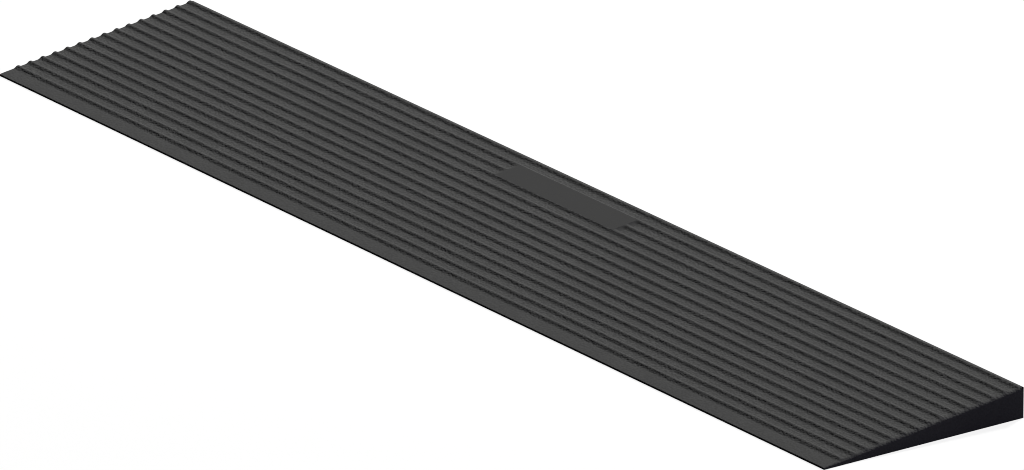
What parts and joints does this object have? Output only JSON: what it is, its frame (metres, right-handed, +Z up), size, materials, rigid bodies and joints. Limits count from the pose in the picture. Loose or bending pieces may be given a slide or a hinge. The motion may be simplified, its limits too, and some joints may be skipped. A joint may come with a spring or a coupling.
{
  "type": "curb ramp",
  "caption": "Long low rubber wedge with wave ribs across its slope, a smooth lead-in strip and a blank plate near the high edge; it lies before a small step.",
  "frame": {"origin": "middle of the rectangle that the underside fills, on the floor plane", "axes": "+X along the length of the ramp, +Y up the slope from the low front edge to the high rear face, +Z up"},
  "size_m": [1.102, 0.19, 0.0261],
  "materials": {
    "moulded_rubber": "moulded black rubber, matt, fine even grain",
    "smooth_plate": "smooth moulded rubber, slightly darker than the ribs",
    "tape_foam": "closed-cell foam tape, matt"
  },
  "bodies": {
    "root": {"ramp_body": "moulded_rubber", "blank_plate": "smooth_plate", "mounting_tape_front_left": "tape_foam", "mounting_tape_front_right": "tape_foam", "mounting_tape_rear_left": "tape_foam", "mounting_tape_rear_right": "tape_foam"}
  },
  "joints": []
}
